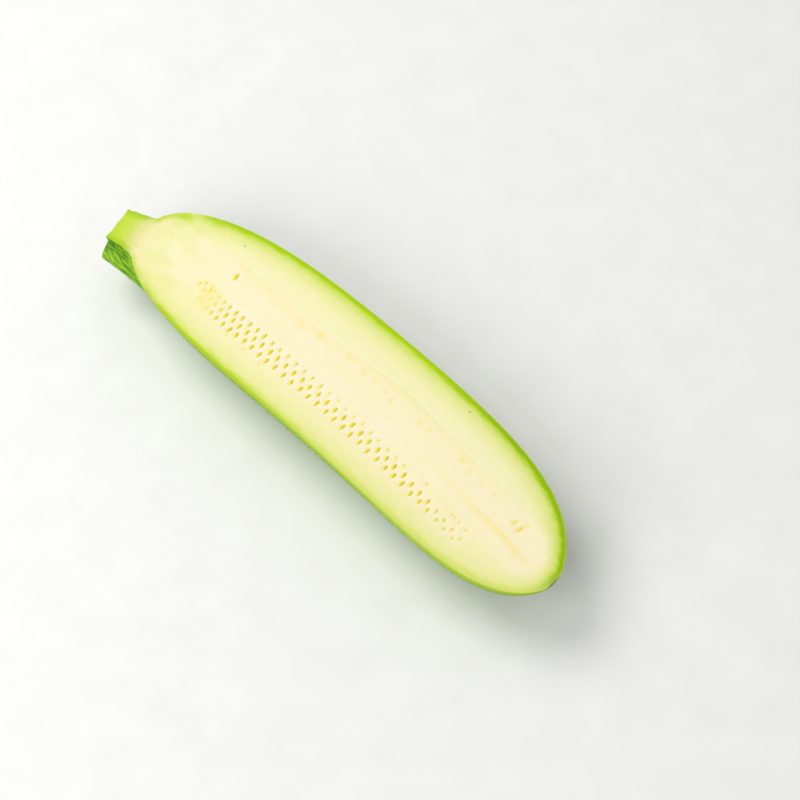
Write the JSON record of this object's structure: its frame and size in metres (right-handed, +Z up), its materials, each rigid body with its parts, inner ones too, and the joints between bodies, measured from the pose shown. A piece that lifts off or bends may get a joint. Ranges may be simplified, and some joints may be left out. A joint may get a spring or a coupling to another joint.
{
  "type": "zucchini half",
  "caption": "Long green summer squash with pale flecks, cut lengthwise with its short ridged stem, lying on its skin with pale flesh and a band of small seeds facing up.",
  "frame": {"origin": "under the centre of the object's box, on the surface that it lies on", "axes": "+X from the stem to the blossom end, +Y towards the outside of the fruit's bow, +Z up, out of the cut face"},
  "size_m": [0.2232, 0.0572, 0.0256],
  "materials": {
    "skin": "satin green skin with pale flecks",
    "flesh": "moist pale flesh, freshly cut",
    "seed": "moist amber seeds",
    "stem_rind": "ribbed green rind",
    "stem_pith": "fibrous lime cut face"
  },
  "bodies": {
    "root": {"fruit": "skin", "stem": "stem_rind"}
  },
  "joints": []
}
